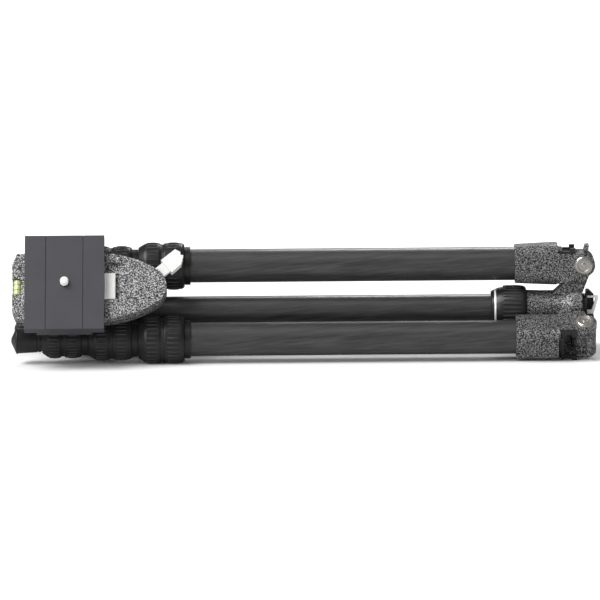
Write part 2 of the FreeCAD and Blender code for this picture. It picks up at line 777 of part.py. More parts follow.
def make_clamp_base():
    """Lower layer of the clamp, with a seat for the stem and a pin for the lever."""
    piece = new_piece("clamp_base")
    top = "clamp_start + base_layer"
    piece.pad("XY_Plane", clamp_outline(), "clamp_start", top)
    piece.pad("XY_Plane", clamp_outline("gap_inset"), top, f"{top} + layer_gap - glue_gap")
    piece.cylinder("Z", "lever_slot_radius", top, f"{top} + 2 * layer_gap",
                   across="pivot_along", up="pivot_across", cut=True)
    piece.cylinder("Z", "lever_pin_radius", f"{top} - 1",
                   f"{top} + lever_thickness + layer_gap / 2",
                   across="pivot_along", up="pivot_across")
    piece.cylinder("Z", "seat_radius + running_fit", "clamp_start - 1",
                   "clamp_start + seat_depth + fork_clearance", cut=True)
    piece.place(at_head())


def make_clamp_body():
    """Upper layer of the clamp: dovetail channel, jaw recess, level notch, lever slot."""
    piece = new_piece("clamp_body")
    piece.pad("XY_Plane", clamp_outline(), BODY_START, BODY_TOP)
    top = f"{BODY_TOP} + 1"
    narrow = "plate_offset - dovetail_width / 2"
    fit = "slide_fit"
    piece.pad("XZ_Plane", [
        (f"{narrow} - dovetail_slope - {fit}", CHANNEL), (f"{narrow} - {fit}", BODY_TOP),
        (f"{narrow} - {fit}", top), (f"{JAW_START} + jaw_travel", top),
        (f"{JAW_START} + jaw_travel", CHANNEL),
    ], "-clamp_half_width - 1", "clamp_half_width + 1", cut=True)
    recess = "jaw_width / 2 + fork_clearance"
    piece.pad("XY_Plane", box(JAW_START, f"{JAW_START} + jaw_length + jaw_travel + fork_clearance",
                              f"-({recess})", recess), CHANNEL, top, cut=True)
    piece.pad("XY_Plane", box(f"{JAW_START} + pin_recess_start",
                              f"{JAW_START} + jaw_length + jaw_travel + fork_clearance",
                              recess, f"{recess} + pin_recess_width"),
              f"{BODY_TOP} - pin_recess_depth", top, cut=True)
    piece.pad("XY_Plane", box("-clamp_back - 1", "-clamp_back + level_depth",
                              "-level_width / 2", "level_width / 2"), BODY_START, top, cut=True)
    piece.cylinder("Z", "lever_slot_radius", f"{BODY_START} - 1",
                   f"{BODY_START} - layer_gap + lever_thickness + 3 * fork_clearance",
                   across="pivot_along", up="pivot_across", cut=True)
    piece.place(at_head())


def make_level():
    """Spirit level vial in its notch at the back of the clamp."""
    piece = new_piece("level_vial")
    half = "level_width / 2 - fork_clearance"
    piece.cylinder("Y", "vial_radius", f"-({half})", half,
                   across="-clamp_back + level_depth - vial_radius - glue_gap",
                   up=f"{BODY_START} + body_layer / 2")
    piece.place(at_head())


def make_jaw():
    """Jaw that grips one side of the plate's dovetail."""
    piece = new_piece("clamp_jaw")
    low, high = f"{CHANNEL} + slide_fit", f"{BODY_TOP}"
    piece.pad("XZ_Plane", [
        (f"{JAW_START} + dovetail_slope + slide_fit", low),
        (f"{JAW_START} + jaw_length", low), (f"{JAW_START} + jaw_length", high),
        (f"{JAW_START} + slide_fit", high),
    ], "-jaw_width / 2", "jaw_width / 2")
    piece.place(at_head())


def make_camera_plate():
    """Camera plate with two grip grooves on its face and the dovetail below."""
    piece = new_piece("camera_plate")
    half, width = "plate_length / 2", "plate_width / 2"
    piece.pad("XY_Plane", box(f"plate_offset - {half}", f"plate_offset + {half}",
                              f"-{width}", width), PLATE_START, PLATE_TOP)
    narrow = "dovetail_width / 2"
    slope = "dovetail_slope * (body_layer - channel_floor - slide_fit) / " \
            "(body_layer - channel_floor)"
    piece.pad("XZ_Plane", [
        (f"plate_offset - {narrow} - {slope}", f"{CHANNEL} + slide_fit"),
        (f"plate_offset + {narrow} + {slope}", f"{CHANNEL} + slide_fit"),
        (f"plate_offset + {narrow}", BODY_TOP), (f"plate_offset + {narrow}", f"{PLATE_START} + 1"),
        (f"plate_offset - {narrow}", f"{PLATE_START} + 1"), (f"plate_offset - {narrow}", BODY_TOP),
    ], f"-{width}", width)
    for side in (-1, 1):
        middle = f"plate_offset + {side} * groove_offset"
        piece.pad("XY_Plane", box(f"{middle} - groove_size / 2", f"{middle} + groove_size / 2",
                                  f"-{width} - 1", f"{width} + 1"),
                  f"{PLATE_TOP} - groove_size", f"{PLATE_TOP} + 1", cut=True)
    piece.cylinder("Z", "screw_radius + fork_clearance", f"{CHANNEL} - 1", f"{PLATE_TOP} + 1",
                   across="plate_offset", cut=True)
    piece.cylinder("Z", "screw_head_radius + fork_clearance", f"{CHANNEL} - 1",
                   f"{CHANNEL} + slide_fit + screw_head_height + fork_clearance",
                   across="plate_offset", cut=True)
    piece.place(at_head())


def make_camera_screw():
    """Camera screw, standing out of the plate's face."""
    piece = new_piece("camera_screw")
    start = f"{CHANNEL} + slide_fit"
    piece.cylinder("Z", "screw_head_radius", start, f"{start} + screw_head_height")
    piece.cylinder("Z", "screw_radius - screw_relief", start, f"{PLATE_TOP} + glue_gap")
    piece.cylinder("Z", "screw_radius", PLATE_TOP, f"{PLATE_TOP} + screw_height")
    piece.round_edges("screw_rounding", lambda edge: abs(edge.CenterOfMass.z - number(
        f"{PLATE_TOP} + screw_height")) < 0.01)
    piece.place(at_head("plate_offset"))


def make_lever():
    """Clamp lever: a disc on the pin, a neck between the layers and a thumb paddle."""
    piece = new_piece("clamp_lever")
    low = "clamp_start + base_layer + fork_clearance / 2"
    high = f"{low} + lever_thickness"
    piece.cylinder("Z", "lever_disc_radius", low, high)
    piece.pad("XY_Plane", box("0", "lever_paddle_start + 1", "-lever_neck_width / 2",
                              "lever_neck_width / 2"), low, high)
    half = "lever_paddle_width / 2"
    piece.pad("XY_Plane", [
        ("lever_paddle_start", f"-{half} - lever_flare"),
        ("lever_paddle_end - 2 * lever_chamfer", f"-{half} - lever_flare / 3"),
        ("lever_paddle_end - lever_notch", f"-{half} + lever_chamfer"),
        ("lever_paddle_end", "-lever_notch"), ("lever_paddle_end - lever_notch", "0"),
        ("lever_paddle_end", "lever_notch"), ("lever_paddle_end - lever_notch", half),
        ("lever_paddle_start", half),
    ], f"{low} - 1", f"{low} - 1 + lever_paddle_height")
    piece.cylinder("Z", "lever_pin_radius + running_fit", f"{low} - 1", f"{high} + 1", cut=True)
    turn = FreeCAD.Rotation(FreeCAD.Vector(0, 0, 1), number("lever_angle"))
    pivot = FreeCAD.Vector(number("pivot_along"), number("pivot_across"), 0)
    piece.place(at_head() * FreeCAD.Placement(pivot, turn))


make_shoulder()
make_column()
for leg, leg_angle in enumerate(LEG_ANGLES, 1):
    make_bolt(leg, leg_angle)
    make_leg(leg, leg_angle)
make_head_base()
make_housing()
make_ball()
make_knob("ball_lock_knob", "knob_place", "knob_radius", "knob_length",
          "ball_radius + fork_clearance")
make_knob("pan_lock_knob", "pan_knob_place", "pan_knob_radius", "pan_knob_length",
          "pivot_radius + fork_clearance")
make_clamp_base()
make_clamp_body()
make_level()
make_jaw()
make_camera_plate()
make_camera_screw()
make_lever()
doc.recompute()

# --- Origin at the middle of the footprint, then checks and files -------------------

bounds = Part.makeCompound([piece.body.Shape for piece in pieces]).optimalBoundingBox()
shift = FreeCAD.Placement(FreeCAD.Vector(-bounds.Center.x, -bounds.Center.y, -bounds.ZMin),
                          FreeCAD.Rotation())
for piece in pieces:
    piece.place(shift * piece.body.Placement)
doc.recompute()

for item in doc.Objects:
    if "Invalid" in item.State or "Error" in item.State:
        raise RuntimeError(f"{item.Label} failed: {item.State}")
for piece in pieces:
    shape = piece.body.Shape
    if shape.isNull() or not shape.isValid() or len(shape.Solids) != 1:
        raise RuntimeError(f"{piece.body.Label} is not one sound solid")

os.makedirs("parts", exist_ok=True)
for piece in pieces:
    piece.body.Shape.exportStep(f"parts/{piece.body.Label}.step")
print(f"{len(pieces)} pieces, {bounds.XLength:.1f} x {bounds.YLength:.1f} x {bounds.ZLength:.1f}")
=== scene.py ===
"""Finishes, detail and studio for a folded travel tripod with a ball head."""

import json
import logging
import math
from collections.abc import Iterable
from dataclasses import dataclass, field
from enum import Enum

import bmesh
import bpy
from mathutils import Matrix, Vector

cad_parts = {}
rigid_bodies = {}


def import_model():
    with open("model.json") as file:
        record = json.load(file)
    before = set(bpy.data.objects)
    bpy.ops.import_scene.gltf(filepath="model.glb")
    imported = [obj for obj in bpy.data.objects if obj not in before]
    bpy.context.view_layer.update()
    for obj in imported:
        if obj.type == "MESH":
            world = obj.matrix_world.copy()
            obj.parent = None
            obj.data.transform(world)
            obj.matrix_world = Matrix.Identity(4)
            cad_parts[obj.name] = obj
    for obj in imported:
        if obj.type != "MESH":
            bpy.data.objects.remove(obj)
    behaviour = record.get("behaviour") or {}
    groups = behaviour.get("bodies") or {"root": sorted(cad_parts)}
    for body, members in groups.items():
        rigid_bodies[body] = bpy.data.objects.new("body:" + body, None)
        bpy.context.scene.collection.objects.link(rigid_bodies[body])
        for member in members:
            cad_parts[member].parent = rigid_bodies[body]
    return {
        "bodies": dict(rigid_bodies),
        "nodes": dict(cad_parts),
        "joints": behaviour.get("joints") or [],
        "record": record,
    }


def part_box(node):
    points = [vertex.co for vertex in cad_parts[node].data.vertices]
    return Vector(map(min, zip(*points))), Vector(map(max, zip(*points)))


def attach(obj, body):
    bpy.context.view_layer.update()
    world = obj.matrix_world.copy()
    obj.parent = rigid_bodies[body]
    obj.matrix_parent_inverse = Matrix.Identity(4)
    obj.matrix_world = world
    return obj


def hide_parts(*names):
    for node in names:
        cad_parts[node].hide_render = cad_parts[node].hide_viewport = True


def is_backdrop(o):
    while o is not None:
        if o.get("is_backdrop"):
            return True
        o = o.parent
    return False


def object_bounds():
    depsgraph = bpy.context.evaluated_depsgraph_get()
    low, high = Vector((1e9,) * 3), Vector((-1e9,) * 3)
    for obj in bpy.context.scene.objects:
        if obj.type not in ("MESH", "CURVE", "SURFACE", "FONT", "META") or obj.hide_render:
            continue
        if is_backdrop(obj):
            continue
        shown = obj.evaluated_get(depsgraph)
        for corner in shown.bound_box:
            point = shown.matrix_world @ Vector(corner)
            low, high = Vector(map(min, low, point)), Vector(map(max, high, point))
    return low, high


LOG = logging.getLogger("tripod")
MM = 0.001
Point = tuple[float, float, float]
Colour = tuple[float, float, float, float]
Pair = tuple[float, float]
ALONG_COLUMN = Vector((1.0, 0.0, 0.0))
ON_AXIS = 1e-6
WELD_DISTANCE = 1e-6
FLAT_ANGLE = math.radians(0.5)
ROUNDED_ANGLE = math.radians(28)
CRISP_ANGLE = 35.0


class Slot(Enum):
    """Material slots of the record that new pieces take their finish from."""

    CARBON = "carbon_tube"
    HAMMERTONE = "hammertone_casting"
    RUBBER = "grip_rubber"
    BRIGHT = "bright_steel"
    GLASS = "level_glass"
    PLASTIC = "black_plastic"
    PLATE = "plate_aluminium"
    BLACK = "black_aluminium"


def grey(value: float) -> Colour:
    """Return an opaque neutral colour."""
    return (value, value, value, 1.0)


# --- Shader building blocks --------------------------------------------------------


class Nodes:
    """A thin wrapper that adds and links nodes in one tree."""

    def __init__(self, tree: bpy.types.NodeTree) -> None:
        """Wrap a node tree."""
        self.tree = tree

    def add(self, kind: str, inputs: dict | None = None, **settings: object) -> bpy.types.Node:
        """Add a node, set its properties and fill or link its inputs.

        Args:
            kind: The node's type name.
            inputs: Values or output sockets for its inputs, by name or index.
            settings: Properties of the node.

        Returns:
            The new node.
        """
        node = self.tree.nodes.new(kind)
        for name, value in settings.items():
            setattr(node, name, value)
        for key, value in (inputs or {}).items():
            if isinstance(value, bpy.types.NodeSocket):
                self.tree.links.new(value, node.inputs[key])
            else:
                node.inputs[key].default_value = value
        return node

    def maths(self, operation: str, *values: object) -> bpy.types.NodeSocket:
        """Return the result of a maths node on values or sockets."""
        node = self.add("ShaderNodeMath", dict(enumerate(values)), operation=operation)
        return node.outputs[0]

    def ramp(self, factor: bpy.types.NodeSocket,
             stops: Iterable[tuple[float, Colour]]) -> bpy.types.NodeSocket:
        """Return a colour ramp's output over the given stops."""
        node = self.add("ShaderNodeValToRGB", {"Fac": factor})
        elements = node.color_ramp.elements
        while len(elements) > 1:
            elements.remove(elements[-1])
        for index, (place, colour) in enumerate(stops):
            element = elements[0] if index == 0 else elements.new(place)
            element.position = place
            element.color = colour
        return node.outputs["Color"]

    def noise(self, vector: bpy.types.NodeSocket, scale: float, detail: float = 2.0,
              roughness: float = 0.5, distortion: float = 0.0) -> bpy.types.NodeSocket:
        """Return a noise texture's factor."""
        node = self.add("ShaderNodeTexNoise", {
            "Vector": vector, "Scale": scale, "Detail": detail, "Roughness": roughness,
            "Distortion": distortion})
        return node.outputs["Fac"]


def group_tree(name: str, inputs: dict[str, tuple[str, object]],
               outputs: dict[str, str]) -> tuple[Nodes, bpy.types.Node, bpy.types.Node]:
    """Start a shader node group with named sockets.

    Args:
        name: The group's name.
        inputs: Socket type and default value, by input name.
        outputs: Socket type, by output name.

    Returns:
        The wrapped tree, its input node and its output node.
    """
    tree = bpy.data.node_groups.new(name, "ShaderNodeTree")
    for label, (kind, value) in inputs.items():
        socket = tree.interface.new_socket(label, in_out="INPUT", socket_type=kind)
        if value is not None:
            socket.default_value = value
    for label, kind in outputs.items():
        tree.interface.new_socket(label, in_out="OUTPUT", socket_type=kind)
    nodes = Nodes(tree)
    return nodes, nodes.add("NodeGroupInput"), nodes.add("NodeGroupOutput")


def build_grain_group() -> bpy.types.NodeTree:
    """Fine surface grain: a roughness value and a height, from two noises."""
    nodes, source, result = group_tree(
        "fine_grain",
        {"Vector": ("NodeSocketVector", None), "Scale": ("NodeSocketFloat", 900.0),
         "Low": ("NodeSocketFloat", 0.4), "High": ("NodeSocketFloat", 0.6)},
        {"Roughness": "NodeSocketFloat", "Height": "NodeSocketFloat"})
    fine = nodes.add("ShaderNodeTexNoise", {
        "Vector": source.outputs["Vector"], "Scale": source.outputs["Scale"], "Detail": 4.0})
    broad = nodes.add("ShaderNodeTexNoise", {
        "Vector": source.outputs["Vector"], "Scale": 45.0, "Detail": 3.0})
    mixed = nodes.maths("ADD", nodes.maths("MULTIPLY", fine.outputs["Fac"], 0.5),
                        nodes.maths("MULTIPLY", broad.outputs["Fac"], 0.5))
    spread = nodes.add("ShaderNodeMapRange", {
        "Value": mixed, "From Min": 0.3, "From Max": 0.7,
        "To Min": source.outputs["Low"], "To Max": source.outputs["High"]})
    nodes.tree.links.new(spread.outputs["Result"], result.inputs["Roughness"])
    nodes.tree.links.new(fine.outputs["Fac"], result.inputs["Height"])
    return nodes.tree


@dataclass(frozen=True)
class Finish:
    """A surface finish with fine grain, colour drift and light bump."""

    name: str
    base: Colour
    drift: Colour
    metallic: float = 0.0
    rough: tuple[float, float] = (0.4, 0.55)
    grain: float = 1400.0
    bump: float = 0.05
    coat: float = 0.0

    def build(self, grain: bpy.types.NodeTree) -> bpy.types.Material:
        """Return the material, with grain driving its roughness and bump."""
        material = bpy.data.materials.new(self.name)
        material.use_nodes = True
        nodes = Nodes(material.node_tree)
        shader = material.node_tree.nodes["Principled BSDF"]
        place = nodes.add("ShaderNodeTexCoord").outputs["Object"]
        texture = nodes.add("ShaderNodeGroup", node_tree=grain)
        for key, value in (("Scale", self.grain), ("Low", self.rough[0]), ("High", self.rough[1])):
            texture.inputs[key].default_value = value
        nodes.tree.links.new(place, texture.inputs["Vector"])
        cloud = nodes.noise(place, 60.0, 5.0, 0.6)
        colour = nodes.ramp(cloud, [(0.3, self.base), (0.7, self.drift)])
        bump = nodes.add("ShaderNodeBump", {
            "Height": texture.outputs["Height"], "Strength": self.bump, "Distance": 0.0002})
        nodes.tree.links.new(colour, shader.inputs["Base Color"])
        nodes.tree.links.new(texture.outputs["Roughness"], shader.inputs["Roughness"])
        nodes.tree.links.new(bump.outputs["Normal"], shader.inputs["Normal"])
        shader.inputs["Metallic"].default_value = self.metallic
        shader.inputs["Coat Weight"].default_value = self.coat
        return material


@dataclass(frozen=True)
class Hammertone:
    """Hammered paint: pale metallic cells in a dark net, with a raised surface."""

    name: str = "hammertone_paint"
    cell: float = 1100.0
    dark: Colour = grey(0.010)
    middle: Colour = grey(0.10)
    pale: Colour = grey(0.36)
    metallic: float = 0.55

    def build(self) -> bpy.types.Material:
        """Return the speckled paint."""
        material = bpy.data.materials.new(self.name)
        material.use_nodes = True
        nodes = Nodes(material.node_tree)
        shader = material.node_tree.nodes["Principled BSDF"]
        place = nodes.add("ShaderNodeTexCoord").outputs["Object"]
        speckle = nodes.noise(place, self.cell, 1.5, 0.45, 0.6)
        colour = nodes.ramp(speckle, [(0.38, self.dark), (0.50, self.middle), (0.62, self.pale)])
        rough = nodes.add("ShaderNodeMapRange", {
            "Value": speckle, "From Min": 0.4, "From Max": 0.6, "To Min": 0.6, "To Max": 0.42})
        bump = nodes.add("ShaderNodeBump", {
            "Height": speckle, "Strength": 0.5, "Distance": 0.0003})
        nodes.tree.links.new(colour, shader.inputs["Base Color"])
        nodes.tree.links.new(rough.outputs["Result"], shader.inputs["Roughness"])
        nodes.tree.links.new(bump.outputs["Normal"], shader.inputs["Normal"])
        shader.inputs["Metallic"].default_value = self.metallic
        return material


@dataclass(frozen=True)
class Carbon:
    """Wrapped carbon under clear resin: long streaks in a shallow helix round a tube."""

    name: str
    centre: Point
    twist: float = 7.0
    dark: Colour = grey(0.020)
    pale: Colour = grey(0.052)
    stretch: float = 0.06
    streaks: float = 700.0
    resin: float = 0.4
    resin_rough: float = 0.28

    def build(self) -> bpy.types.Material:
        """Return the material for the tubes round one axis."""
        material = bpy.data.materials.new(self.name)
        material.use_nodes = True
        nodes = Nodes(material.node_tree)
        shader = material.node_tree.nodes["Principled BSDF"]
        place = nodes.add("ShaderNodeTexCoord").outputs["Object"]
        centred = nodes.add("ShaderNodeMapping", {
            "Vector": place, "Location": tuple(-value for value in self.centre)})
        parts = nodes.add("ShaderNodeSeparateXYZ", {0: centred.outputs["Vector"]})
        along, across, up = (parts.outputs[index] for index in range(3))
        angle = nodes.maths("MULTIPLY", along, self.twist)
        cosine, sine = nodes.maths("COSINE", angle), nodes.maths("SINE", angle)
        turned_y = nodes.maths("SUBTRACT", nodes.maths("MULTIPLY", across, cosine),
                               nodes.maths("MULTIPLY", up, sine))
        turned_z = nodes.maths("ADD", nodes.maths("MULTIPLY", across, sine),
                               nodes.maths("MULTIPLY", up, cosine))
        helix = nodes.add("ShaderNodeCombineXYZ", {
            0: nodes.maths("MULTIPLY", along, self.stretch), 1: turned_y, 2: turned_z})
        streak = nodes.noise(helix.outputs["Vector"], self.streaks, 5.0, 0.62)
        colour = nodes.ramp(streak, [(0.34, self.dark), (0.66, self.pale)])
        rough = nodes.add("ShaderNodeMapRange", {
            "Value": streak, "From Min": 0.3, "From Max": 0.7, "To Min": 0.5, "To Max": 0.3})
        nodes.tree.links.new(colour, shader.inputs["Base Color"])
        nodes.tree.links.new(rough.outputs["Result"], shader.inputs["Roughness"])
        shader.inputs["Coat Weight"].default_value = self.resin
        shader.inputs["Coat Roughness"].default_value = self.resin_rough
        return material


@dataclass
class Workshop:
    """Every finish, built once, and how it goes on nodes and pieces.

    Attributes:
        materials: The finish of each slot.
        grain: The shared fine grain.
        bubble: The air in the level.
        neck: The threaded sleeves of the leg locks.
        steel: The hinge bolts.
        clamp_paint_painted_lighter: Paler hammertone on the clamp's upper layer, partly its own
            tone and partly painted light; the base layer keeps the darker paint as painted shade
            at the gap between them.
        rib_with_painted_highlight: Paler rubber on the ribs, a painted highlight on them that
            leaves the gaps between them in painted shade.
    """

    materials: dict[Slot, bpy.types.Material] = field(default_factory=dict)
    grain: bpy.types.NodeTree | None = None
    bubble: bpy.types.Material | None = None
    neck: bpy.types.Material | None = None
    steel: bpy.types.Material | None = None
    clamp_paint_painted_lighter: bpy.types.Material | None = None
    rib_with_painted_highlight: bpy.types.Material | None = None

    def mix_finishes(self) -> None:
        """Build the shared grain and the plain finishes."""
        self.grain = build_grain_group()
        finishes = {
            Slot.RUBBER: Finish("ribbed_rubber", grey(0.009), grey(0.015), rough=(0.30, 0.42),
                                bump=0.12),
            Slot.BRIGHT: Finish("bright_metal", (0.91, 0.90, 0.88, 1), (0.85, 0.84, 0.82, 1),
                                metallic=0.2, rough=(0.24, 0.28), bump=0.01),
            Slot.PLASTIC: Finish("black_plastic", grey(0.012), grey(0.018), rough=(0.35, 0.5)),
            Slot.PLATE: Finish("anodised_plate", (0.050, 0.049, 0.057, 1),
                               (0.056, 0.055, 0.063, 1), metallic=0.2, rough=(0.42, 0.52),
                               grain=2600.0, bump=0.06),
            Slot.BLACK: Finish("black_anodised", grey(0.016), grey(0.028), metallic=0.6,
                               rough=(0.28, 0.42)),
            Slot.GLASS: Finish("level_fluid", (0.52, 0.58, 0.22, 1), (0.62, 0.68, 0.32, 1),
                               rough=(0.08, 0.15), bump=0.0, coat=1.0),
        }
        for slot, finish in finishes.items():
            self.materials[slot] = finish.build(self.grain)
        self.materials[Slot.HAMMERTONE] = Hammertone().build()
        # paler rubber for the ribs: painted highlight on the ribs, painted shade left in the gaps
        # between them
        self.rib_with_painted_highlight = Finish("rubber_rib_painted_highlight", grey(0.030), grey(0.044), rough=(0.26, 0.38),
                          bump=0.12).build(self.grain)
        # paler copy of the hammertone for the clamp's upper layer: partly its own tone, partly
        # painted light that sets it off from the darker base
        self.clamp_paint_painted_lighter = Hammertone("clamp_paint_painted_lighter", cell=1200.0, dark=grey(0.020),
                                      pale=grey(0.66)).build()
        self.bubble = Finish("level_air", (0.86, 0.93, 0.45, 1), (0.90, 0.96, 0.55, 1),
                             rough=(0.05, 0.1), bump=0.0, coat=1.0).build(self.grain)
        self.neck = Finish("neck_aluminium", grey(0.03), grey(0.045), metallic=0.7,
                           rough=(0.25, 0.38)).build(self.grain)
        self.steel = Finish("turned_steel", (0.55, 0.52, 0.49, 1), (0.46, 0.44, 0.41, 1),
                            metallic=0.8, rough=(0.2, 0.3), bump=0.01).build(self.grain)

    def dress(self, target: bpy.types.Object, material: bpy.types.Material) -> None:
        """Give an object one material in all its slots."""
        target.data.materials.clear()
        target.data.materials.append(material)


# --- Mesh helpers --------------------------------------------------------------------


def link(mesh: bpy.types.Mesh, name: str) -> bpy.types.Object:
    """Put a mesh in the scene as an object at the origin."""
    mesh.name = name
    piece = bpy.data.objects.new(name, mesh)
    bpy.context.scene.collection.objects.link(piece)
    return piece


def from_bmesh(shape: bmesh.types.BMesh, name: str) -> bpy.types.Object:
    """Turn a closed bmesh into an object, with its faces pointing outwards."""
    bmesh.ops.recalc_face_normals(shape, faces=shape.faces)
    mesh = bpy.data.meshes.new(name)
    shape.to_mesh(mesh)
    shape.free()
    return link(mesh, name)


def bake(piece: bpy.types.Object, name: str) -> bpy.types.Object:
    """Turn an object with modifiers into a plain mesh object."""
    bpy.context.view_layer.update()
    evaluated = piece.evaluated_get(bpy.context.evaluated_depsgraph_get())
    mesh = bpy.data.meshes.new_from_object(evaluated)
    bpy.data.objects.remove(piece)
    return link(mesh, name)


def smooth(piece: bpy.types.Object, angle: float = CRISP_ANGLE) -> bpy.types.Object:
    """Shade a mesh smooth, with edges sharper than the angle kept crisp."""
    piece.data.polygons.foreach_set("use_smooth", [True] * len(piece.data.polygons))
    piece.data.set_sharp_from_angle(angle=math.radians(angle))
    return piece


def soft_copy(source: bpy.types.Object, name: str, width: float,
              segments: int = 3) -> bpy.types.Object:
    """Copy a hard-edged mesh and round its edges.

    Args:
        source: The CAD node's object.
        name: The new piece's name.
        width: Width of the rounding in millimetres.
        segments: Faces across each rounding.

    Returns:
        The new piece, a plain mesh with even shading on its flats.
    """
    mesh = source.data.copy()
    shape = bmesh.new()
    shape.from_mesh(mesh)
    bmesh.ops.remove_doubles(shape, verts=shape.verts, dist=WELD_DISTANCE)
    bmesh.ops.dissolve_limit(shape, angle_limit=FLAT_ANGLE, verts=shape.verts,
                             edges=shape.edges)
    shape.to_mesh(mesh)
    shape.free()
    piece = link(mesh, name)
    mesh.polygons.foreach_set("use_smooth", [True] * len(mesh.polygons))
    bevel = piece.modifiers.new("soft_edges", "BEVEL")
    bevel.width = width * MM
    bevel.segments = segments
    bevel.limit_method = "ANGLE"
    bevel.angle_limit = ROUNDED_ANGLE
    bevel.use_clamp_overlap = True
    weighted = piece.modifiers.new("even_flats", "WEIGHTED_NORMAL")
    weighted.keep_sharp = True
    return bake(piece, name)


def soften(corners: Iterable[tuple[float, float, float]], steps: int = 5) -> list[Pair]:
    """Round the corners of an open outline.

    Args:
        corners: Place along the axis, radius, and how far from the corner its rounding starts.
        steps: Points across each rounding.

    Returns:
        The outline's points.
    """
    points = [Vector((along, radius)) for along, radius, _ in corners]
    outline: list[Pair] = []
    for index, (along, radius, reach) in enumerate(corners):
        if reach == 0 or index in (0, len(points) - 1):
            outline.append((along, radius))
            continue
        here, before, after = points[index], points[index - 1], points[index + 1]
        start = here + (before - here).normalized() * min(reach, (before - here).length / 2)
        end = here + (after - here).normalized() * min(reach, (after - here).length / 2)
        for step in range(steps + 1):
            part = step / steps
            point = start * (1 - part) ** 2 + here * 2 * part * (1 - part) + end * part ** 2
            outline.append((point.x, point.y))
    return outline


def lathe(name: str, outline: list[Pair], segments: int = 96) -> bpy.types.Object:
    """Spin an outline about Z into a closed solid.

    Args:
        name: The piece's name.
        outline: Place along the axis and radius, in millimetres. It either starts and
            ends on the axis or runs all round the wall of a ring.
        segments: Faces round the axis.

    Returns:
        The piece, about its own axis.
    """
    shape = bmesh.new()
    rings = []
    for along, radius in outline:
        count = 1 if radius < ON_AXIS else segments
        rings.append([shape.verts.new((radius * MM * math.cos(math.tau * step / segments),
                                       radius * MM * math.sin(math.tau * step / segments),
                                       along * MM)) for step in range(count)])
    pairs = list(zip(rings, rings[1:]))
    if len(rings[0]) > 1:
        pairs.append((rings[-1], rings[0]))
    for first, second in pairs:
        for step in range(segments):
            turn = (step + 1) % segments
            corners = [first[step % len(first)], first[turn % len(first)],
                       second[turn % len(second)], second[step % len(second)]]
            unique = list(dict.fromkeys(corners))
            if len(unique) > 2:
                shape.faces.new(unique)
    return from_bmesh(shape, name)


def stand(piece: bpy.types.Object, base: Vector, direction: Vector) -> bpy.types.Object:
    """Move a piece's mesh so that its own Z axis starts at base and points along direction."""
    turn = direction.to_track_quat("Z", "Y").to_matrix().to_4x4()
    piece.data.transform(Matrix.Translation(base) @ turn)
    return piece


def threaded_rod(name: str, radius: float, length: float, pitch: float,
                 depth: float) -> bpy.types.Object:
    """Make a screw thread that stands on Z = 0, in millimetres, with a plain tip."""
    segments, rows_per_turn = 48, 10
    shape = bmesh.new()
    rows = []
    count = round(length / pitch * rows_per_turn)
    for row in range(count + 1):
        height = length * row / count
        fade = min(1.0, (length - height) / pitch)
        ring = []
        for step in range(segments):
            phase = (height / pitch - step / segments) % 1.0
            wave = radius - depth * abs(2 * phase - 1) - (1 - fade) * depth
            angle = math.tau * step / segments
            ring.append(shape.verts.new((wave * MM * math.cos(angle), wave * MM * math.sin(angle),
                                         height * MM)))
        rows.append(ring)
    for first, second in zip(rows, rows[1:]):
        for step in range(segments):
            turn = (step + 1) % segments
            shape.faces.new((first[step], first[turn], second[turn], second[step]))
    shape.faces.new(rows[0])
    shape.faces.new(rows[-1])
    return from_bmesh(shape, name)


# --- Repeated detail -------------------------------------------------------------------


def start_geometry(name: str, inputs: dict[str, str]) -> tuple[Nodes, bpy.types.Node]:
    """Start a geometry node group with a base geometry, named sizes and a material."""
    tree = bpy.data.node_groups.new(name, "GeometryNodeTree")
    tree.interface.new_socket("Base", in_out="INPUT", socket_type="NodeSocketGeometry")
    for label, kind in inputs.items():
        tree.interface.new_socket(label, in_out="INPUT", socket_type=kind)
    tree.interface.new_socket("Material", in_out="INPUT", socket_type="NodeSocketMaterial")
    tree.interface.new_socket("Geometry", in_out="OUTPUT", socket_type="NodeSocketGeometry")
    nodes = Nodes(tree)
    return nodes, nodes.add("NodeGroupInput")


def end_geometry(nodes: Nodes, source: bpy.types.Node, instances: bpy.types.NodeSocket,
                 shift: bpy.types.NodeSocket) -> bpy.types.NodeTree:
    """Move the instances, make them real, give them the material and add them to the base."""
    moved = nodes.add("GeometryNodeTransform", {"Geometry": instances, "Translation": shift})
    real = nodes.add("GeometryNodeRealizeInstances", {"Geometry": moved.outputs[0]})
    dressed = nodes.add("GeometryNodeSetMaterial", {
        "Geometry": real.outputs[0], "Material": source.outputs["Material"]})
    joined = nodes.add("GeometryNodeJoinGeometry")
    nodes.tree.links.new(dressed.outputs[0], joined.inputs[0])
    nodes.tree.links.new(source.outputs["Base"], joined.inputs[0])
    nodes.add("NodeGroupOutput", {"Geometry": joined.outputs[0]})
    return nodes.tree


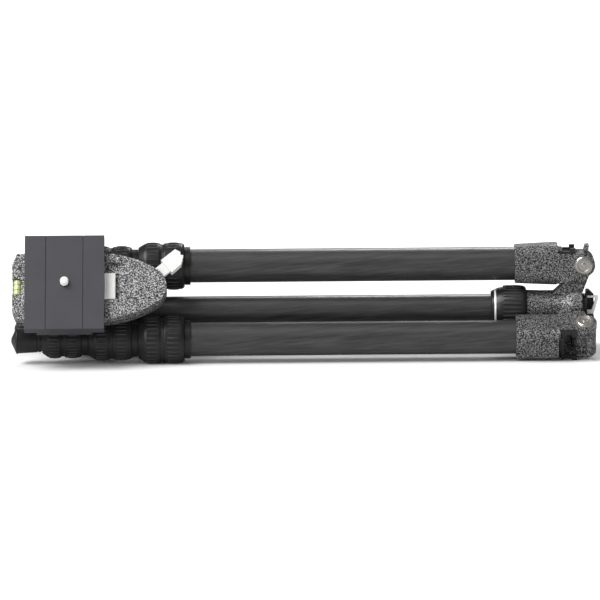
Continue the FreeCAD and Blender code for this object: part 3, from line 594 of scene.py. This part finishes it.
def build_rib_ring() -> bpy.types.NodeTree:
    """Long rounded ribs, evenly spaced round the Z axis."""
    floats = ("Radius", "Length", "Width", "Height", "Along")
    nodes, source = start_geometry("rib_ring", {
        "Count": "NodeSocketInt", **{label: "NodeSocketFloat" for label in floats}})
    size = {label: source.outputs[label] for label in ("Count", *floats)}
    circle = nodes.add("GeometryNodeMeshCircle", {
        "Vertices": size["Count"], "Radius": size["Radius"]})
    outward = nodes.add("FunctionNodeAlignRotationToVector", {
        "Vector": nodes.add("GeometryNodeInputPosition").outputs[0]}, axis="X", pivot_axis="Z")
    rib_with_painted_highlight = nodes.add("GeometryNodeMeshUVSphere", {"Segments": 8, "Rings": 8, "Radius": 1.0})
    scale = nodes.add("ShaderNodeCombineXYZ", {
        0: size["Height"], 1: nodes.maths("MULTIPLY", size["Width"], 0.5),
        2: nodes.maths("MULTIPLY", size["Length"], 0.5)})
    ribs = nodes.add("GeometryNodeInstanceOnPoints", {
        "Points": circle.outputs[0], "Instance": rib_with_painted_highlight.outputs[0], "Rotation": outward.outputs[0],
        "Scale": scale.outputs[0]})
    shift = nodes.add("ShaderNodeCombineXYZ", {2: size["Along"]})
    return end_geometry(nodes, source, ribs.outputs[0], shift.outputs[0])


def build_bar_row() -> bpy.types.NodeTree:
    """Upright rounded bars in a row along X, on a face."""
    floats = ("Gap", "Length", "Width", "Height")
    nodes, source = start_geometry("bar_row", {
        "Count": "NodeSocketInt", **{label: "NodeSocketFloat" for label in floats},
        "Start": "NodeSocketVector"})
    size = {label: source.outputs[label] for label in ("Count", "Start", *floats)}
    step = nodes.add("ShaderNodeCombineXYZ", {0: size["Gap"]})
    row = nodes.add("GeometryNodeMeshLine", {"Count": size["Count"], "Offset": step.outputs[0]})
    bar = nodes.add("GeometryNodeMeshUVSphere", {"Segments": 8, "Rings": 8, "Radius": 1.0})
    scale = nodes.add("ShaderNodeCombineXYZ", {
        0: nodes.maths("MULTIPLY", size["Width"], 0.5),
        1: nodes.maths("MULTIPLY", size["Length"], 0.5), 2: size["Height"]})
    bars = nodes.add("GeometryNodeInstanceOnPoints", {
        "Points": row.outputs[0], "Instance": bar.outputs[0], "Scale": scale.outputs[0]})
    return end_geometry(nodes, source, bars.outputs[0], size["Start"])


def add_detail(piece: bpy.types.Object, tree: bpy.types.NodeTree,
               values: dict[str, object]) -> None:
    """Add a node tree to a piece and set its named inputs before it is evaluated."""
    modifier = piece.modifiers.new(tree.name, "NODES")
    modifier.node_group = tree
    for item in tree.interface.items_tree:
        if item.in_out == "INPUT" and item.name in values:
            modifier[item.identifier] = values[item.name]


# --- The bench: what every sub-assembly works with ---------------------------------------


@dataclass
class Bench:
    """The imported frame, the finishes and the node trees, and how a piece is handed over."""

    frame: dict
    workshop: Workshop
    rib_ring: bpy.types.NodeTree
    bar_row: bpy.types.NodeTree

    def joint(self, name: str) -> tuple[Vector, Vector]:
        """Return a joint's place and axis."""
        row = next(item for item in self.frame["joints"] if item["name"] == name)
        return Vector(row["pos_m"]), Vector(row["axis"]).normalized()

    def material(self, slot: Slot) -> bpy.types.Material:
        """Return the finish of a slot."""
        return self.workshop.materials[slot]

    def hand_over(self, piece: bpy.types.Object, body: str, slot: Slot, *nodes: str,
                  material: bpy.types.Material | None = None) -> None:
        """Dress a finished piece, let it ride on its body and hide what it stands for."""
        if len(piece.data.materials) < 2:  # ribbed pieces already have their rubber and the painted highlight of their ribs
            self.workshop.dress(piece, material or self.material(slot))
        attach(piece, body)
        if nodes:
            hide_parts(*nodes)
        LOG.info("%s rides on %s, %d faces", piece.name, body, len(piece.data.polygons))

    def soften_node(self, node: str, body: str, slot: Slot, width: float,
                    material: bpy.types.Material | None = None) -> bpy.types.Object:
        """Replace a node with a copy whose edges are rounded."""
        piece = soft_copy(self.frame["nodes"][node], f"{node}_finished", width)
        self.hand_over(piece, body, slot, node, material=material)
        return piece

    def ribbed(self, piece: bpy.types.Object, count: int, radius: float, length: float,
               width: float, height: float, places: Iterable[float]) -> bpy.types.Object:
        """Add rings of ribs to a turned piece, in millimetres, and make it a plain mesh."""
        self.workshop.dress(piece, self.material(Slot.RUBBER))
        # the ribs take the paler rubber: painted highlight on the ribs against painted shade in
        # the gaps
        for along in places:
            add_detail(piece, self.rib_ring, {
                "Count": count, "Radius": radius * MM, "Length": length * MM,
                "Width": width * MM, "Height": height * MM, "Along": along * MM,
                "Material": self.workshop.rib_with_painted_highlight})
        return smooth(bake(piece, piece.name))


def span(node: str) -> tuple[Vector, float, float]:
    """Return the outer end of a node turned about X, its length and its radius, both in mm."""
    low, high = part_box(node)
    middle = (low + high) / 2
    return (Vector((low.x, middle.y, middle.z)), (high.x - low.x) / MM, (high.z - low.z) / 2 / MM)


# --- Legs --------------------------------------------------------------------------------


@dataclass
class TwistLock:
    """Rubber collar in two ribbed bands, in millimetres."""

    shoulder_drop: float = 3.3
    shoulder_share: float = 0.16
    groove_half: float = 2.0
    groove_depth: float = 0.9
    groove_shift: float = 0.6
    rim: float = 1.8
    lip: float = 6.0
    play: float = 0.3
    ribs: int = 30
    rib_width: float = 1.2
    rib_height: float = 0.7

    def build(self, bench: Bench, leg: int, lock: int) -> None:
        """Make one collar and hand it over."""
        node = f"leg_{leg}_collar_{lock}"
        base, length, radius = span(node)
        bore = span(f"leg_{leg}_sleeve_{lock}")[2]
        inner = span(f"leg_{leg}_tube_{lock + 1}")[2] + self.play
        middle = length / 2 + self.groove_shift
        shoulder = self.shoulder_share * length
        outline = soften([
            (0, inner, 0), (0, radius - self.shoulder_drop, 0.8), (shoulder, radius, 1.6),
            (middle - self.groove_half, radius, 0.5),
            (middle - self.groove_half / 2, radius - self.groove_depth, 0.4),
            (middle + self.groove_half / 2, radius - self.groove_depth, 0.4),
            (middle + self.groove_half, radius, 0.5),
            (length - self.rim, radius, 0.9), (length, radius - 1.3, 0.6), (length, bore, 0),
            (self.lip, bore, 0), (self.lip, inner, 0)])
        near = (shoulder + middle - self.groove_half) / 2
        far = (middle + self.groove_half + length - self.rim) / 2
        rib_length = middle - self.groove_half - shoulder - 0.8
        piece = bench.ribbed(lathe(f"{node}_ribbed", outline), self.ribs, radius - 0.08,
                             rib_length, self.rib_width, self.rib_height, (near, far))
        stand(piece, base, ALONG_COLUMN)
        bench.hand_over(piece, f"leg_{leg}_lock_{lock}", Slot.RUBBER, node)


@dataclass
class Foot:
    """Moulded rubber foot, in millimetres."""

    seat: float = 12.0
    tip: float = 1.6
    shoulder: float = 3.8
    taper: float = 1.4

    def build(self, bench: Bench, leg: int) -> None:
        """Make one foot and hand it over."""
        node = f"leg_{leg}_foot"
        base, length, radius = span(node)
        bore = span(f"leg_{leg}_tube_4")[2]
        outline = soften([
            (0, 0, 0), (0, self.tip, 0.6), (self.shoulder, radius, 0.5),
            (self.shoulder + 1.2, radius, 0.3), (self.shoulder + 1.5, radius - 0.35, 0.1),
            (length - 3.2, radius - self.taper + 0.3, 0.4),
            (length - 3.0, radius - self.taper - 0.2, 0.2),
            (length - 2.2, radius - self.taper - 0.2, 0.2),
            (length - 2.0, radius - self.taper + 0.2, 0.2),
            (length, radius - self.taper, 0.3), (length, bore, 0), (length - self.seat, bore, 0),
            (length - self.seat, 0, 0)])
        piece = stand(smooth(lathe(f"{node}_moulded", outline)), base, ALONG_COLUMN)
        bench.hand_over(piece, f"leg_{leg}_section_4", Slot.RUBBER, node)


@dataclass
class HingeBolt:
    """Polished hinge bolt with a dished head at each end, in millimetres."""

    head: float = 7.0
    shaft: float = 3.0
    head_height: float = 2.5
    recess: float = 4.5
    recess_depth: float = 1.0
    button: float = 1.7

    def build(self, bench: Bench, leg: int) -> None:
        """Make one bolt and hand it over."""
        node = f"hinge_bolt_{leg}"
        low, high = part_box(node)
        _, axis = bench.joint(f"leg_{leg}_swing")
        size = high - low
        disc = 2 * self.head * MM
        half = (abs(axis.y) * size.y + abs(axis.z) * size.z
                - 2 * abs(axis.y) * abs(axis.z) * disc) / 2 / MM
        top, neck = half, half - self.head_height
        outline = soften([
            (top - 0.3, 0, 0), (top - 0.3, self.button, 0.4),
            (top - self.recess_depth, self.button + 0.2, 0.2),
            (top - self.recess_depth, self.recess - 0.5, 0.2), (top, self.recess, 0.3),
            (top - 0.1, self.head - 1.3, 0.6), (top - 1.1, self.head - 0.1, 0.7),
            (neck, self.head, 0.2), (neck, self.shaft, 0)])
        mirrored = [(-along, radius) for along, radius in reversed(outline)]
        piece = smooth(lathe(f"{node}_turned", outline + mirrored))
        stand(piece, (low + high) / 2, axis)
        bench.hand_over(piece, "shoulder", Slot.BRIGHT, node, material=bench.workshop.steel)


def build_legs(bench: Bench) -> None:
    """Finish the castings, catches, locks, feet and hinge bolts of the three legs."""
    lock, foot, bolt = TwistLock(), Foot(), HingeBolt()
    bench.soften_node("shoulder_casting", "shoulder", Slot.HAMMERTONE, 0.7)
    for leg in (1, 2, 3):
        bench.soften_node(f"leg_{leg}_casting", f"leg_{leg}", Slot.HAMMERTONE, 0.6)
        bench.soften_node(f"leg_{leg}_angle_catch", f"leg_{leg}_catch", Slot.PLASTIC, 0.4)
        for index in (1, 2, 3):
            lock.build(bench, leg, index)
        foot.build(bench, leg)
        bolt.build(bench, leg)


# --- Column ------------------------------------------------------------------------------


@dataclass
class ColumnGrip:
    """Bell-shaped rubber grip of the column's lock, with a bright ring, in millimetres."""

    nose: float = 8.5
    thread: float = 13.3
    bore: float = 11.3
    ribs: int = 34
    rib_length: float = 14.5
    ring_place: float = 2.4
    ring_width: float = 1.5
    ring_bore: float = 13.0

    def build(self, bench: Bench) -> None:
        """Make the grip and its ring and hand them over."""
        node = "column_lock_collar"
        base, length, radius = span(node)
        outline = soften([
            (0, self.bore, 0), (0, 13.2, 0.8), (5.2, radius - 1.4, 3.0), (15.5, radius, 4.0),
            (length - 1.8, radius, 1.4), (length, radius - 1.8, 0.7), (length, self.thread, 0),
            (self.nose, self.thread, 0), (self.nose, self.bore, 0)])
        piece = bench.ribbed(lathe(f"{node}_ribbed", outline), self.ribs, radius - 0.1,
                             self.rib_length, 1.7, 0.55, (length - 10.5,))
        stand(piece, base, ALONG_COLUMN)
        bench.hand_over(piece, "column_lock", Slot.RUBBER, node)
        start, end = self.ring_place, self.ring_place + self.ring_width
        ring = lathe("column_lock_ring", soften([
            (start, self.ring_bore, 0), (start, 14.5, 0.3), (end, 15.1, 0.3),
            (end, self.ring_bore, 0)]))
        stand(smooth(ring), base, ALONG_COLUMN)
        bench.hand_over(ring, "column_lock", Slot.BRIGHT)


def build_column(bench: Bench) -> None:
    """Finish the column's grip, end plug, hook and top plate."""
    ColumnGrip().build(bench)
    bench.soften_node("column_end_plug", "column", Slot.BLACK, 0.6)
    bench.soften_node("column_hook", "hook", Slot.BRIGHT, 0.5)
    bench.soften_node("column_top_plate", "column", Slot.BLACK, 0.5)
    bench.soften_node("head_base", "column", Slot.BLACK, 0.5)


# --- Ball head ---------------------------------------------------------------------------


@dataclass
class Knob:
    """Lock knob: a ribbed rubber barrel on its shaft, in millimetres."""

    node: str
    joint: str
    body: str
    radius: float
    length: float
    stand_off: float = 0.5
    shaft: float = 3.0
    ribs: int = 22

    def build(self, bench: Bench) -> None:
        """Make the knob and hand it over."""
        place, axis = bench.joint(self.joint)
        low, high = self.stand_off, self.stand_off + self.length
        outline = soften([
            (-4.0, 0, 0), (-4.0, self.shaft, 0), (low, self.shaft, 0),
            (low, self.radius - 1.4, 0.6), (low + 1.4, self.radius, 0.9),
            (high - 1.6, self.radius, 1.0), (high, self.radius - 1.6, 0.8),
            (high, self.radius - 3.2, 0.3), (high - 0.6, self.radius - 3.6, 0.2),
            (high - 0.6, 0, 0)])
        piece = bench.ribbed(lathe(f"{self.node}_ribbed", outline), self.ribs, self.radius - 0.1,
                             self.length - 4.4, 1.6, 0.6, ((low + high) / 2,))
        stand(piece, place, axis)
        bench.hand_over(piece, self.body, Slot.BLACK, self.node,
                        material=bench.material(Slot.RUBBER))


@dataclass
class Clamp:
    """Quick-release clamp: two cast layers, level, jaw and lever, in millimetres."""

    level_radius: float = 2.8
    level_half: float = 5.9
    bubble: float = 1.5
    bubble_radius: float = 0.9
    mark_width: float = 0.3
    mark_height: float = 0.06
    mark_depth: float = 0.2
    bars: int = 7
    bar_gap: float = 1.3
    bar_margin: float = 4.0
    bar_width: float = 0.8
    bar_height: float = 0.35
    bar_start: float = 8.9

    def build_level(self, bench: Bench) -> None:
        """Make the vial with domed ends, two rings and its bubble."""
        low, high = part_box("level_vial")
        middle = (low + high) / 2
        _, facing = bench.joint("clamp_turn")
        along = facing.cross(ALONG_COLUMN).normalized()
        half, radius = self.level_half, self.level_radius
        vial = lathe("level_vial_filled", soften([
            (-half, 0, 0), (-half, radius, 1.0), (half, radius, 1.0), (half, 0, 0)]), 48)
        stand(smooth(vial), middle, along)
        bench.hand_over(vial, "clamp", Slot.GLASS, "level_vial")
        inner, outer = radius - self.mark_depth, radius + self.mark_height
        for name, start in (("level_ring_left", -self.bubble - 0.6),
                            ("level_ring_right", self.bubble + 0.3)):
            end = start + self.mark_width
            ring = lathe(name, [(start, inner), (start, outer), (end, outer), (end, inner)], 48)
            stand(ring, middle, along)
            bench.hand_over(ring, "clamp", Slot.BLACK)
        bubble = lathe("level_bubble", soften([
            (-self.bubble, 0, 0), (-self.bubble, self.bubble_radius, 0.8),
            (self.bubble, self.bubble_radius, 0.8), (self.bubble, 0, 0)]), 32)
        stand(smooth(bubble), middle + facing * (radius - 0.55) * MM, along)
        bench.hand_over(bubble, "clamp", Slot.GLASS, material=bench.workshop.bubble)

    def build_jaw(self, bench: Bench) -> None:
        """Make the jaw with upright ribs on its open face."""
        node = "clamp_jaw"
        piece = soft_copy(bench.frame["nodes"][node], f"{node}_ribbed", 0.4)
        _, facing = bench.joint("clamp_turn")
        low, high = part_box(node)
        turn = Matrix.Rotation(-facing.angle(Vector((0, 0, 1))), 4, "X")
        flat = turn if (turn @ facing).z > 0.99 else turn.inverted()
        piece.data.transform(flat)
        top = max(corner.co.z for corner in piece.data.vertices)
        across = [corner.co.y for corner in piece.data.vertices]
        width = (max(across) - min(across)) / MM
        add_detail(piece, bench.bar_row, {
            "Count": self.bars, "Gap": self.bar_gap * MM,
            "Length": (width - self.bar_margin) * MM, "Width": self.bar_width * MM,
            "Height": self.bar_height * MM,
            "Start": (high.x - self.bar_start * MM, (max(across) + min(across)) / 2, top),
            "Material": bench.material(Slot.BRIGHT)})
        piece = smooth(bake(piece, f"{node}_ribbed"))
        piece.data.transform(flat.inverted())
        bench.hand_over(piece, "clamp_jaw", Slot.BRIGHT, node)

    def build(self, bench: Bench) -> None:
        """Make every piece of the clamp and hand it over."""
        # the upper layer takes the paler paint: painted light on the body, painted shade on the
        # darker base at the gap between the layers
        paint = bench.workshop.clamp_paint_painted_lighter
        bench.soften_node("clamp_base", "clamp", Slot.HAMMERTONE, 0.6)
        bench.soften_node("clamp_body", "clamp", Slot.HAMMERTONE, 0.7, paint)
        self.build_level(bench)
        self.build_jaw(bench)
        bench.soften_node("clamp_lever", "clamp_lever", Slot.BRIGHT, 0.9)


@dataclass
class CameraPlate:
    """Camera plate with soft edges and its threaded screw, in millimetres."""

    screw_radius: float = 3.175
    screw_height: float = 4.6
    pitch: float = 1.27
    thread_depth: float = 0.55

    def build(self, bench: Bench) -> None:
        """Make the plate and the screw and hand them over."""
        bench.soften_node("camera_plate", "camera_plate", Slot.PLATE, 0.5)
        place, axis = bench.joint("camera_screw_turn")
        thread = threaded_rod("camera_screw_threaded", self.screw_radius, self.screw_height,
                              self.pitch, self.thread_depth)
        stand(smooth(thread, 50.0), place, axis)
        bench.hand_over(thread, "camera_screw", Slot.BRIGHT, "camera_screw")


def build_head(bench: Bench) -> None:
    """Finish the ball housing, knobs, clamp and camera plate."""
    bench.soften_node("ball_housing", "ball_housing", Slot.BLACK, 0.6)
    Knob("ball_lock_knob", "ball_lock_turn", "ball_lock_knob", 10.4, 17.0).build(bench)
    Knob("pan_lock_knob", "pan_lock_turn", "pan_lock_knob", 7.6, 12.0, ribs=18).build(bench)
    Clamp().build(bench)
    CameraPlate().build(bench)


# --- Stage ---------------------------------------------------------------------------


@dataclass
class Studio:
    """Pale floor, soft light and the camera.

    Attributes:
        elevation: The camera's height above the horizon, in degrees.
        distance: From the camera to the middle of the object, in metres.
        view_width: What the picture spans at the object, in metres.
        roll: The camera's turn about its own line of sight, in degrees.
        aim_shift: From the middle of the object to where the camera aims, in metres.
        sensor: The sensor's width, in millimetres.
        fill: How bright the surroundings light the object.
        dim: How bright they look in a reflection.
        floor_gloss: How pale the floor looks in a reflection.
        overhead: Strength of the high light.
        overhead_spread: Its angular size, in degrees.
        overhead_place: Where it shines from.
        lamps: Name, place, size and power of each area light.
    """

    elevation: float = 8.2
    distance: float = 5.0
    view_width: float = 0.4477
    roll: float = 0.45
    aim_shift: Point = (-0.0042, 0.0, -0.0045)
    sensor: float = 36.0
    fill: float = 0.6
    dim: float = 0.12
    floor_gloss: float = 0.4
    overhead: float = 2.5
    overhead_spread: float = 40.0
    overhead_place: Point = (-0.8, -0.5, 1.25)
    lamps: tuple[tuple[str, Point, float, float], ...] = (
        ("front", (-1.1, -1.6, 0.7), 0.7, 6.0), ("back", (0.2, 1.2, 1.1), 0.5, 6.0))

    def build_floor(self) -> None:
        """Lay a wide pale floor under the object."""
        mesh = bpy.data.meshes.new("floor")
        half = 30.0
        mesh.from_pydata([(-half, -half, 0), (half, -half, 0), (half, half, 0), (-half, half, 0)],
                         [], [(0, 1, 2, 3)])
        floor = bpy.data.objects.new("floor", mesh)
        bpy.context.scene.collection.objects.link(floor)
        material = bpy.data.materials.new("pale_floor")
        material.use_nodes = True
        nodes = Nodes(material.node_tree)
        shader = material.node_tree.nodes["Principled BSDF"]
        glossy = nodes.add("ShaderNodeLightPath").outputs["Is Glossy Ray"]
        colour = nodes.ramp(glossy, [(0.0, grey(0.94)), (1.0, grey(self.floor_gloss))])
        nodes.tree.links.new(colour, shader.inputs["Base Color"])
        shader.inputs["Roughness"].default_value = 0.9
        shader.inputs["Specular IOR Level"].default_value = 0.1
        mesh.materials.append(material)
        floor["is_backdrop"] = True

    def build_light(self) -> None:
        """Light the object from its surroundings, from above, from in front and from behind."""
        world = bpy.data.worlds.new("studio")
        world.use_nodes = True
        nodes = Nodes(world.node_tree)
        background = world.node_tree.nodes["Background"]
        path = nodes.add("ShaderNodeLightPath")
        seen = nodes.ramp(path.outputs["Is Camera Ray"],
                          [(0.0, grey(self.fill)), (1.0, grey(1.0))])
        mixed = nodes.add("ShaderNodeMix", {
            "Factor": path.outputs["Is Glossy Ray"], "B": (*(self.dim,) * 3, 1.0)},
            data_type="RGBA")
        nodes.tree.links.new(seen, mixed.inputs["A"])
        nodes.tree.links.new(mixed.outputs["Result"], background.inputs["Color"])
        bpy.context.scene.world = world
        bpy.context.scene.view_settings.view_transform = "Standard"
        sun = bpy.data.lights.new("overhead", "SUN")
        sun.energy = self.overhead
        sun.angle = math.radians(self.overhead_spread)
        self.hang(sun, self.overhead_place)
        for name, place, size, power in self.lamps:
            light = bpy.data.lights.new(name, "AREA")
            light.size = size
            light.energy = power
            self.hang(light, place)

    def hang(self, light: bpy.types.Light, place: Point) -> None:
        """Hang a light at a place, facing the object."""
        lamp = bpy.data.objects.new(light.name, light)
        lamp.location = place
        lamp.rotation_euler = Vector(place).to_track_quat("Z", "Y").to_euler()
        bpy.context.scene.collection.objects.link(lamp)

    def build_camera(self, centre: Vector) -> None:
        """Set a long lens level with the object's long side.

        Args:
            centre: Middle of the object's box.
        """
        lens = self.sensor * self.distance / self.view_width
        data = bpy.data.cameras.new("camera")
        data.sensor_width = self.sensor
        data.lens = lens
        data.clip_end = 100.0
        camera = bpy.data.objects.new("camera", data)
        tilt = math.radians(self.elevation)
        back = Vector((0.0, -math.cos(tilt), math.sin(tilt)))
        camera.location = centre + Vector(self.aim_shift) + back * self.distance
        turn = back.to_track_quat("Z", "Y").to_matrix()
        roll = Matrix.Rotation(math.radians(-self.roll), 3, "Z")
        camera.rotation_euler = (turn @ roll).to_euler()
        bpy.context.scene.collection.objects.link(camera)
        bpy.context.scene.camera = camera


def plain_box() -> list[list[float]]:
    """Return the whole object's box as plain lists."""
    return [[float(value) for value in corner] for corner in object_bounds()]


def dress_nodes(bench: Bench) -> None:
    """Give every CAD node that stays its finish."""
    for row in bench.frame["record"]["subparts"]:
        node, slot = row["node"], Slot(row["material_slot"])
        if slot is Slot.CARBON:
            low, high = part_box(node)
            material = Carbon(f"carbon_{node}", tuple((low + high) / 2)).build()
        elif "sleeve" in node:
            material = bench.workshop.neck
        else:
            material = bench.material(slot)
        bench.workshop.dress(bench.frame["nodes"][node], material)


def main() -> None:
    """Build every finish, piece and the studio."""
    logging.basicConfig(level=logging.INFO)
    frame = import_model()
    cad_box = plain_box()
    workshop = Workshop()
    workshop.mix_finishes()
    bench = Bench(frame, workshop, build_rib_ring(), build_bar_row())
    dress_nodes(bench)
    build_legs(bench)
    build_column(bench)
    build_head(bench)
    studio = Studio()
    studio.build_floor()
    studio.build_light()
    studio.build_camera(sum((Vector(corner) for corner in cad_box), Vector()) / 2)


if __name__ == "__main__":
    main()
